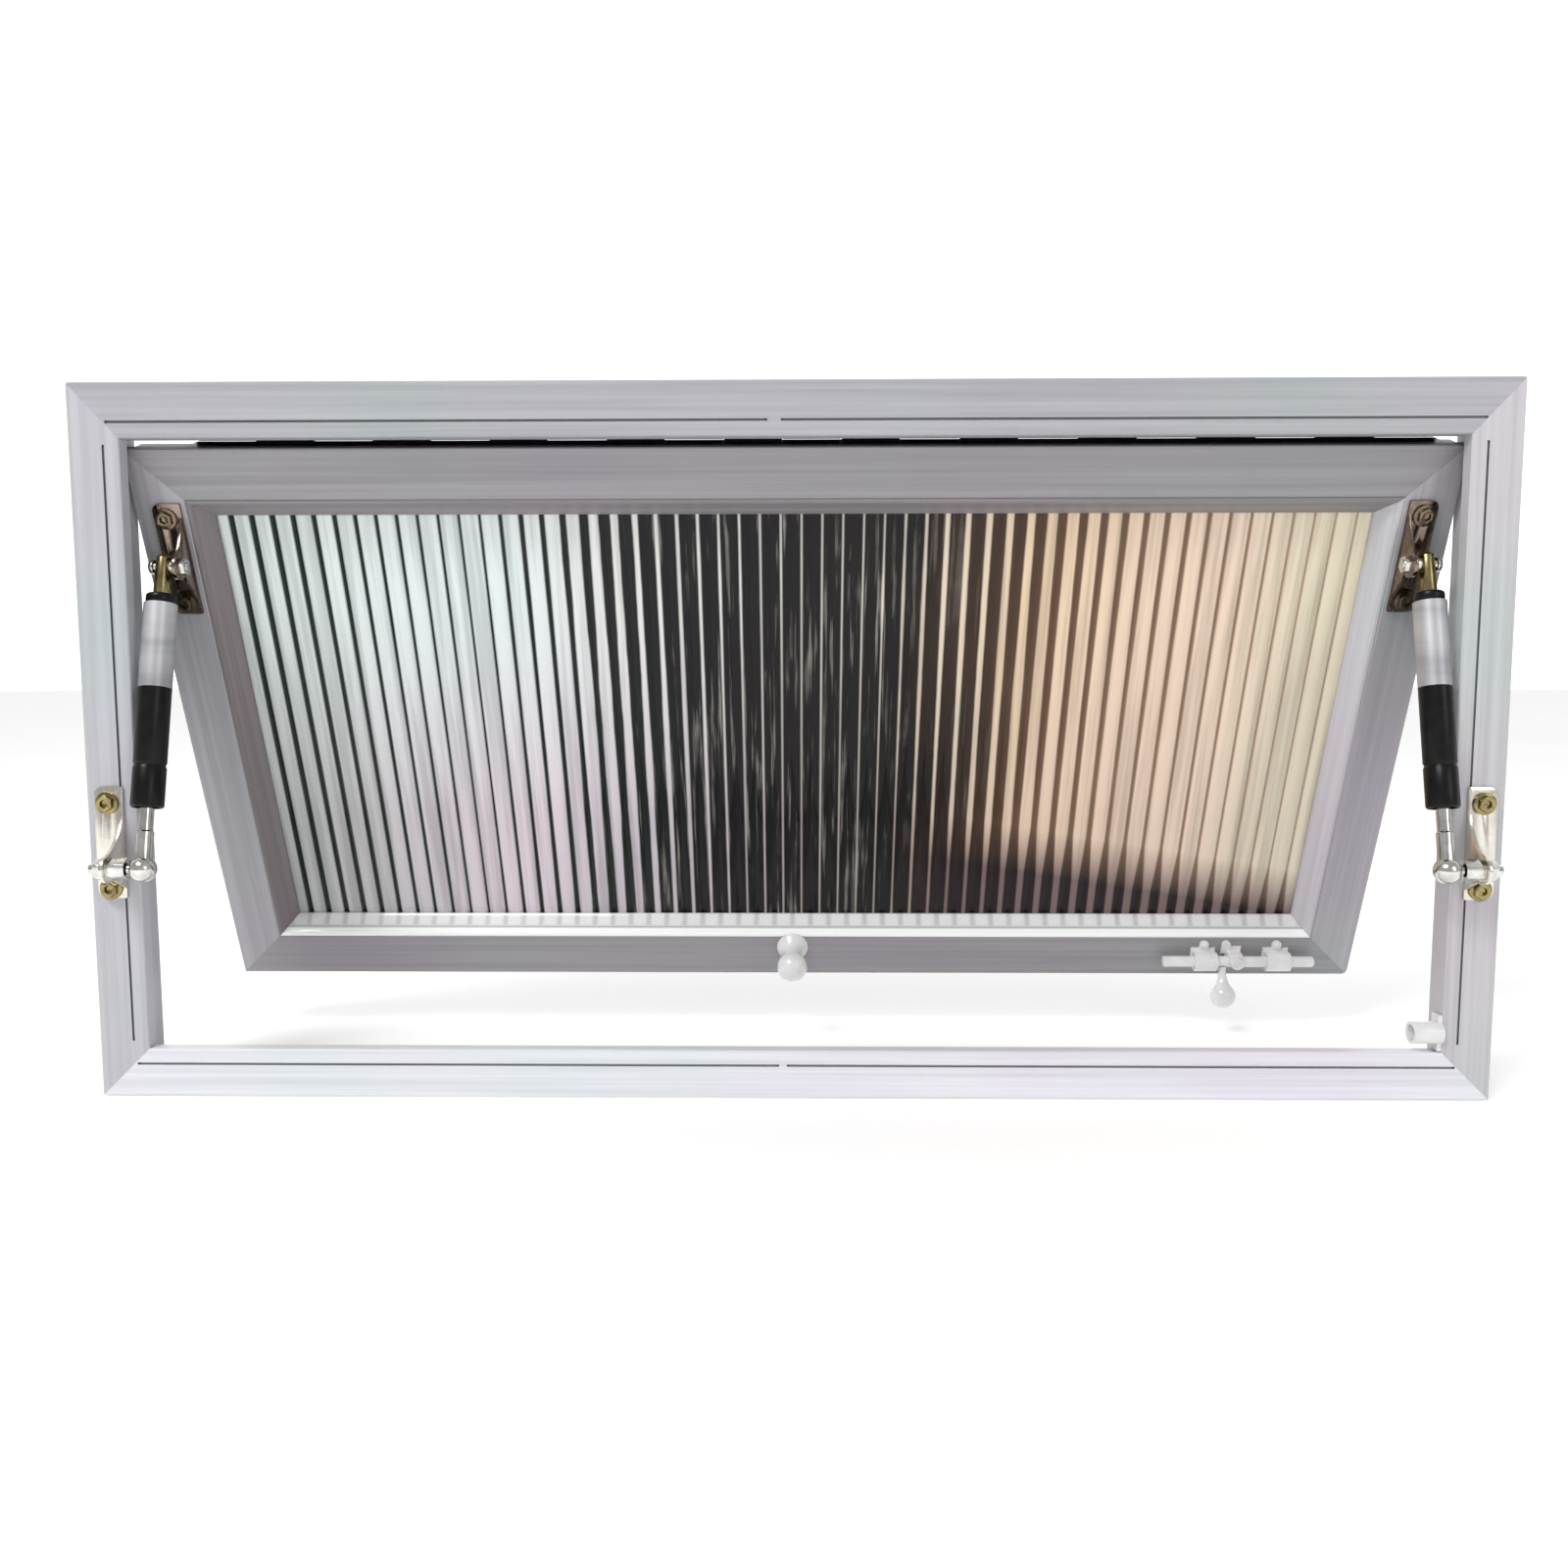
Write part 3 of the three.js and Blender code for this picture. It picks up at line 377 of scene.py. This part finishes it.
def lit_bead():
    """The bottom bead: a glossy ledge with a painted reflection of the ends of the reeds, and a painted
    highlight along its outer edge.
    """
    material, tree, shader = new_material("bottom_bead_painted_highlight")
    where = node(tree, "ShaderNodeTexCoord")
    local = node(tree, "ShaderNodeSeparateXYZ")
    box = node(tree, "ShaderNodeSeparateXYZ")
    tree.links.new(where.outputs["Object"], local.inputs["Vector"])
    tree.links.new(where.outputs["Generated"], box.inputs["Vector"])
    # ends: painted reflection of the reed ends on the ledge
    ends = ramp(tree, from_reed_edge(tree, local.outputs["X"]), [(0.1, grey(0.48)), (0.45, grey(0.80))])
    soft = mixed(tree, scaled(tree, noise(tree, 120, 3), 0.0, 0.7), ends, grey(0.66))
    # ledge: a painted highlight line along the outer edge, then a painted darker line
    ledge = ramp(tree, box.outputs["Z"], [
        (0.14, grey(1.0)), (0.34, grey(0.97)), (0.42, grey(0.40)), (0.47, grey(0.62)), (0.52, grey(0.66)),
    ])
    high = scaled(tree, box.outputs["Z"], 0.0, 1.0, 0.47, 0.54)
    surface(tree, shader, mixed(tree, high, ledge, soft), noise(tree, 60, 3), 0.16, 0.3)
    shader.inputs["Coat Weight"].default_value = 0.4
    add_bump(tree, shader, noise(tree, 900, 2), 0.08, 0.0002)
    return material


def floor_material():
    material, tree, shader = new_material("studio_floor")
    tone = ramp(tree, noise(tree, 0.8, 2), [(0.3, grey(0.96)), (0.7, grey(0.985))])
    tree.links.new(tone, shader.inputs["Base Color"])
    shader.inputs["Roughness"].default_value = 0.9
    shader.inputs["Specular IOR Level"].default_value = 0.1
    shader.inputs["Emission Color"].default_value = (1, 1, 1, 1)
    shader.inputs["Emission Strength"].default_value = 0.18
    return material


# ---------------------------------------------------------------- pieces
def link(piece):
    bpy.context.scene.collection.objects.link(piece)
    return piece


def smooth_by_angle(mesh, degrees):
    mesh.polygons.foreach_set("use_smooth", [True] * len(mesh.polygons))
    mesh.set_sharp_from_angle(angle=math.radians(degrees))


def adopt(piece, cad_node, material):
    """piece stands for a CAD node: it rides on the node's body and takes the given material."""
    piece.data.materials.clear()
    piece.data.materials.append(material)
    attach(piece, BODY_OF[cad_node])
    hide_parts(cad_node)
    return piece


def softened(cad_node, material, width=0.35, segments=2, angle=38, smooth=32):
    """The CAD shape again, welded, with its hard edges rounded over."""
    mesh = frame["nodes"][cad_node].data.copy()
    bm = bmesh.new()
    bm.from_mesh(mesh)
    bmesh.ops.remove_doubles(bm, verts=bm.verts, dist=2e-6)
    bmesh.ops.dissolve_limit(bm, angle_limit=math.radians(0.5), verts=bm.verts, edges=bm.edges)
    bm.to_mesh(mesh)
    bm.free()
    mesh.name = "fine_" + cad_node
    piece = link(bpy.data.objects.new("fine_" + cad_node, mesh))
    if width:
        bevel = piece.modifiers.new("edges", "BEVEL")
        bevel.width = width * MM
        bevel.segments = segments
        bevel.limit_method = "ANGLE"
        bevel.angle_limit = math.radians(angle)
        bevel.miter_outer = "MITER_ARC"
        evaluated = piece.evaluated_get(bpy.context.evaluated_depsgraph_get())
        piece.data = bpy.data.meshes.new_from_object(evaluated)
        piece.modifiers.clear()
    smooth_by_angle(piece.data, smooth)
    return adopt(piece, cad_node, material)


def turned(name, profile, at, direction, segments=48, smooth=35):
    """A closed solid of revolution. The (radius, height) profile, in mm, ends on the axis or at its start."""
    bm = bmesh.new()
    rings = []
    for radius, height in profile:
        if radius < 1e-6:
            rings.append([bm.verts.new((0, 0, height * MM))])
            continue
        angles = [2 * math.pi * i / segments for i in range(segments)]
        points = [(radius * MM * math.cos(a), radius * MM * math.sin(a), height * MM) for a in angles]
        rings.append([bm.verts.new(point) for point in points])
    for low, high in zip(rings, rings[1:]):
        for i in range(segments):
            j = i + 1
            corners = [low[i % len(low)], low[j % len(low)], high[j % len(high)], high[i % len(high)]]
            unique = list(dict.fromkeys(corners))
            if len(unique) > 2:
                bm.faces.new(unique)
    bmesh.ops.remove_doubles(bm, verts=bm.verts, dist=1e-7)
    bmesh.ops.recalc_face_normals(bm, faces=bm.faces)
    mesh = bpy.data.meshes.new(name)
    bm.to_mesh(mesh)
    bm.free()
    turn = Vector((0, 0, 1)).rotation_difference(direction).to_matrix().to_4x4()
    mesh.transform(Matrix.Translation(at) @ turn)
    smooth_by_angle(mesh, smooth)
    return link(bpy.data.objects.new(name, mesh))


def arc(radius, centre, start, end, steps=14):
    """Profile points on a ball, by polar angle from its far pole, in degrees."""
    angles = [math.radians(start + (end - start) * i / steps) for i in range(steps + 1)]
    return [(max(0.0, radius * math.sin(a)), centre + radius * math.cos(a)) for a in angles]


def fillet(radius, corner_r, corner_h, side, rise):
    """Profile points round a corner of a turned piece: side is the way in, rise the way the arc climbs."""
    return [
        (corner_r + side * radius * (1 - math.cos(a)), corner_h + rise * radius * math.sin(a))
        for a in (math.radians(90 * i / 5) for i in range(6))
    ]


def stand_for(cad_node, profile, at, direction, material):
    """A turned piece in place of a CAD node."""
    return adopt(turned("fine_" + cad_node, profile, at, direction), cad_node, material)


def reeded_pane(material):
    """The pane again, with smoothly curved reeds on its indoor side."""
    closed = [OPENED.inverted() @ v.co for v in frame["nodes"]["glass_pane"].data.vertices]
    half = max(p.x for p in closed)
    z0, z1 = min(p.z for p in closed), max(p.z for p in closed)
    back = max(p.y for p in closed)
    valley = back - PANE_BODY
    reeds = int(2 * half / REED_PITCH)
    start = -reeds * REED_PITCH / 2
    outline = [(-half, valley)]
    for i in range(reeds * REED_STEPS + 1):
        across = (i % REED_STEPS) / REED_STEPS
        rise = REED_HEIGHT * (1 - (2 * across - 1) ** 2)
        outline.append((start + i * REED_PITCH / REED_STEPS, valley - rise))
    outline += [(half, valley), (half, back), (-half, back)]
    bm = bmesh.new()
    rows = [[bm.verts.new((x, y, z)) for x, y in outline] for z in (z0, z1)]
    count = len(outline)
    for i in range(count):
        j = (i + 1) % count
        bm.faces.new((rows[0][i], rows[0][j], rows[1][j], rows[1][i]))
    bm.faces.new(rows[0])
    bm.faces.new(rows[1])
    bmesh.ops.recalc_face_normals(bm, faces=bm.faces)
    mesh = bpy.data.meshes.new("reeded_pane")
    bm.to_mesh(mesh)
    bm.free()
    mesh.transform(OPENED)
    smooth_by_angle(mesh, 25)
    return adopt(link(bpy.data.objects.new("reeded_pane", mesh)), "glass_pane", material)


def knob(material):
    closed = [OPENED.inverted() @ v.co for v in frame["nodes"]["pull_knob"].data.vertices]
    seat = max(p.y for p in closed)
    z = (min(p.z for p in closed) + max(p.z for p in closed)) / 2
    flange = [(0, 0), (12.6, 0), *fillet(0.9, KNOB_FLANGE_R, 0.9, -1, 1), (11.6, 3.0)]
    neck = [(9.6, 4.9), (8.2, 7.2), (7.2, 9.4), (6.5, 11.6), (6.2, 14), (6.4, 16.4), (7.2, 19.2)]
    profile = [*flange, *neck, *arc(KNOB_BALL_R, KNOB_BALL_OUT, 143, 0, 20)]
    at = OPENED @ Vector((0, seat, z))
    return stand_for("pull_knob", profile, at, SASH_OUT, material)


def handle(material):
    at = Vector(JOINT["handle_turn"]["pos_m"])
    tilt = math.radians(HANDLE_TILT_DEG - OPEN_DEG)
    direction = Vector((0, -math.sin(tilt), -math.cos(tilt)))
    profile = [(0, 4.8), (3.3, 4.8), (3.1, 7), (3.1, 9), (3.3, 11.5), (3.9, 14.5), (5.0, 17.8)]
    profile += arc(HANDLE_BALL_R, HANDLE_BALL_OUT, 140, 0, 18)
    return stand_for("bolt_handle", profile, at, direction, material)


def rod(material):
    low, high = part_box("bolt_rod")
    at = Vector((low.x, (low.y + high.y) / 2, (low.z + high.z) / 2))
    length = (high.x - low.x) / MM
    profile = [(0, 0), (3.6, 0), (4.2, 0.3), (BOLT_R, 1)]
    profile += [(BOLT_R, length - 1.6), (4.1, length - 0.6), (3.2, length), (0, length)]
    return stand_for("bolt_rod", profile, at, Vector((1, 0, 0)), material)


def strut(side, materials):
    lower = Vector(JOINT[f"strut_rod_{side}_pivot"]["pos_m"])
    upper = Vector(JOINT[f"strut_tube_{side}_pivot"]["pos_m"])
    along = (upper - lower).normalized()
    tube = [(0, TUBE_TO), (9.6, TUBE_TO), (10.5, TUBE_TO - 0.4), (TUBE_R, TUBE_TO - 1.5)]
    half_groove = [(TUBE_R, 2.0), (10.75, 1.4), (10.35, 0.6)]
    groove = [*half_groove, (10.3, 0), *((radius, -above) for radius, above in reversed(half_groove))]
    tube += [(radius, TUBE_GROOVE_AT + above) for radius, above in groove]
    tube += [(TUBE_R, TUBE_FROM + 1.8), (10.7, TUBE_FROM + 0.7), (10.1, TUBE_FROM), (MOUTH_R, TUBE_FROM)]
    tube += [(MOUTH_R, TUBE_FROM + 3), (TUBE_BORE_R, TUBE_FROM + 5)]
    tube += [(TUBE_BORE_R, TUBE_TO - 4), (0, TUBE_TO - 4)]
    stand_for(f"strut_tube_{side}", tube, lower, along, materials["black_enamel"])
    label = [(LABEL_BACK_R, LABEL_FROM), (LABEL_R, LABEL_FROM)]
    label += [(LABEL_R, LABEL_TO), (LABEL_BACK_R, LABEL_TO), label[0]]
    wrap = turned(f"label_band_{side}", label, lower, along)
    wrap.data.materials.append(materials["label"])
    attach(wrap, f"strut_tube_{side}")
    cap_from = TUBE_TO + SEAT
    cap = [(0, cap_from), (9.6, cap_from), (CAP_R, cap_from + 0.8), (CAP_R, CAP_TO - 1.4)]
    cap += [(9.6, CAP_TO - 0.5), (8.8, CAP_TO), (0, CAP_TO)]
    stand_for(f"strut_cap_{side}", cap, lower, along, materials["black_enamel"])
    shank_from = NECK_TO + SEAT
    shank = [(0, shank_from), (ROD_R, shank_from), (ROD_R, ROD_TO - 1), (3.9, ROD_TO), (0, ROD_TO)]
    stand_for(f"strut_rod_{side}", shank, lower, along, materials["polished_steel"])


def screws(materials):
    coats = {"lower": "yellow_zinc", "upper": "dark_screw"}
    for side in SIDES:
        for place, coat in coats.items():
            for number in (1, 2):
                softened(f"{place}_screw_{side}_{number}", materials[coat], width=0.25)


# ---------------------------------------------------------------- stage, light and camera
def make_floor():
    bm = bmesh.new()
    bmesh.ops.create_circle(bm, cap_ends=True, radius=14, segments=96)
    mesh = bpy.data.meshes.new("studio_floor")
    bm.to_mesh(mesh)
    bm.free()
    floor = link(bpy.data.objects.new("studio_floor", mesh))
    floor.location.z = CAD_BOX[0][2] - 0.0005
    floor.data.materials.append(floor_material())


def make_world():
    """A white studio: bright beyond the window, dimmer on the indoor side."""
    world = bpy.data.worlds.new("studio")
    bpy.context.scene.world = world
    world.use_nodes = True
    tree = world.node_tree
    where = node(tree, "ShaderNodeTexCoord")
    split = node(tree, "ShaderNodeSeparateXYZ")
    tree.links.new(where.outputs["Generated"], split.inputs["Vector"])
    beyond = scaled(tree, split.outputs["Y"], 0.0, 1.0, -0.1, 0.75)
    glow = ramp(tree, beyond, [(0.0, grey(0.30)), (1.0, grey(1.0))])
    background = next(n for n in tree.nodes if n.type == "BACKGROUND")
    tree.links.new(glow, background.inputs["Color"])
    background.inputs["Strength"].default_value = WORLD_STRENGTH


def area_light(name, at, target, size, power, colour=(1, 1, 1)):
    data = bpy.data.lights.new(name, "AREA")
    data.shape = "RECTANGLE"
    data.size, data.size_y = size
    data.energy = power
    data.color = colour
    light = link(bpy.data.objects.new(name, data))
    light.location = at
    light.rotation_euler = (Vector(target) - Vector(at)).to_track_quat("-Z", "Y").to_euler()


def make_lights():
    area_light("key", (-1.5, -1.9, 2.9), (0, 0, 0.25), (1.6, 1.0), 70)
    area_light("fill", (1.9, -2.2, 1.3), (0, 0, 0.3), (1.2, 1.4), 10)


def make_camera():
    pitch, yaw, roll = (math.radians(v) for v in (CAMERA_PITCH, CAMERA_YAW, CAMERA_ROLL))
    ahead = Vector((math.sin(yaw) * math.cos(pitch), math.cos(yaw) * math.cos(pitch), -math.sin(pitch)))
    right = Vector((math.cos(yaw), -math.sin(yaw), 0))
    up = right.cross(ahead)
    tipped_right = right * math.cos(roll) + up * math.sin(roll)
    tipped_up = up * math.cos(roll) - right * math.sin(roll)
    data = bpy.data.cameras.new("photo_view")
    data.lens = CAMERA_LENS
    data.sensor_width = 36
    data.clip_start = 0.01
    data.clip_end = 100
    camera = link(bpy.data.objects.new("photo_view", data))
    basis = Matrix((tipped_right, tipped_up, -ahead)).transposed().to_4x4()
    camera.matrix_world = Matrix.Translation(CAMERA_AT) @ basis
    bpy.context.scene.camera = camera


# ---------------------------------------------------------------- build
def make_materials():
    return {
        # Frame coats: one white paint in painted shade on the head and left jamb and in painted light on the
        # right jamb and sill
        "head": coated_aluminium("head_shaded_coat", (0.42, 0.425, 0.45), (0.34, 0.345, 0.365), "x"),
        "sill": coated_aluminium("sill_lit_coat", (0.80, 0.80, 0.84), (0.68, 0.68, 0.73), "x"),
        "jamb_left": coated_aluminium("left_jamb_shaded_coat", (0.50, 0.50, 0.53), (0.42, 0.42, 0.45), "z"),
        "jamb_right": coated_aluminium("right_jamb_lit_coat", (0.56, 0.55, 0.57), (0.47, 0.46, 0.48), "z"),
        # Sash rails and stiles: the same white paint darkened with painted shade, because the open sash faces
        # down
        "rail": coated_aluminium("rail_shaded_coat", (0.31, 0.30, 0.315), (0.25, 0.24, 0.26), "x"),
        "stile": coated_aluminium("stile_shaded_coat", (0.41, 0.40, 0.425), (0.34, 0.33, 0.355), "z"),
        # Beads: the same white paint, in painted shade at the top and left and in painted light at the right
        "bead_dark": coated_aluminium("top_bead_shaded_coat", (0.25, 0.23, 0.24), (0.19, 0.175, 0.185), "x"),
        "bead_right": coated_aluminium("right_bead_lit_coat", (0.58, 0.57, 0.60), (0.50, 0.49, 0.52), "z"),
        "bead_left": coated_aluminium("left_bead_shaded_coat", (0.21, 0.18, 0.19), (0.16, 0.135, 0.145), "z"),
        "bead_lit": lit_bead(),
        "hardware_white": cast_enamel("cast_enamel", (0.82, 0.82, 0.82)),
        "polished_steel": plated("bright_plate", (0.78, 0.77, 0.74), (0.5, 0.49, 0.46), 0.08, 0.2),
        "lower_plate": plated("beige_plate", (0.80, 0.77, 0.70), (0.66, 0.62, 0.54), 0.14, 0.3),
        # Upper bracket plate: its dark brown colour stands in for the dark surroundings mirrored in the
        # chrome, a painted reflection
        "upper_plate": plated("dark_reflection_plate", (0.30, 0.23, 0.19), (0.15, 0.11, 0.09), 0.08, 0.22),
        "yellow_zinc": plated("yellow_zinc", (0.40, 0.33, 0.15), (0.20, 0.16, 0.08), 0.16, 0.3),
        "dark_screw": plated("dark_screw", (0.22, 0.17, 0.12), (0.10, 0.08, 0.06), 0.16, 0.3),
        "black_enamel": strut_enamel(),
        "label": label_film(),
        "seal_rubber": seal_rubber(),
        "reeded_glass": reeded_glass(),
    }


def dress_bars(materials):
    """The bars and beads stay as the CAD made them, and take a coat that runs along each one; each coat is
    the same white paint made lighter or darker by painted light and shade.
    """
    for name, piece in frame["nodes"].items():
        if SLOT_OF[name] != "white_paint":
            continue
        piece.data.materials.clear()
        piece.data.materials.append(materials[COATS[name]])


def build():
    materials = make_materials()
    dress_bars(materials)
    seal = frame["nodes"]["frame_seal"]
    seal.data.materials.clear()
    seal.data.materials.append(materials["seal_rubber"])
    reeded_pane(materials["reeded_glass"])
    knob(materials["hardware_white"])
    handle(materials["hardware_white"])
    rod(materials["hardware_white"])
    for name in ("bolt_keeper", "bolt_sleeve_left", "bolt_sleeve_right", "bolt_catch"):
        softened(name, materials["hardware_white"], width=0.5, segments=3)
    for name in ("hinge_leaf_frame", "hinge_leaf_sash", "hinge_pin"):
        softened(name, materials["black_enamel"], width=0)
    for side in SIDES:
        strut(side, materials)
        for part in ("strut_socket", "ball_stud", "ball_stud_nut", "pivot_nut"):
            softened(f"{part}_{side}", materials["polished_steel"], width=0.3)
        softened(f"lower_bracket_{side}", materials["lower_plate"], width=0.4)
        softened(f"upper_bracket_{side}", materials["upper_plate"], width=0.4)
        softened(f"strut_eye_{side}", materials["yellow_zinc"], width=0.3)
        softened(f"pivot_bolt_{side}", materials["polished_steel"], width=0.3)
    screws(materials)


bpy.context.scene.view_settings.view_transform = "Standard"
make_camera()
make_floor()
make_world()
make_lights()
build()
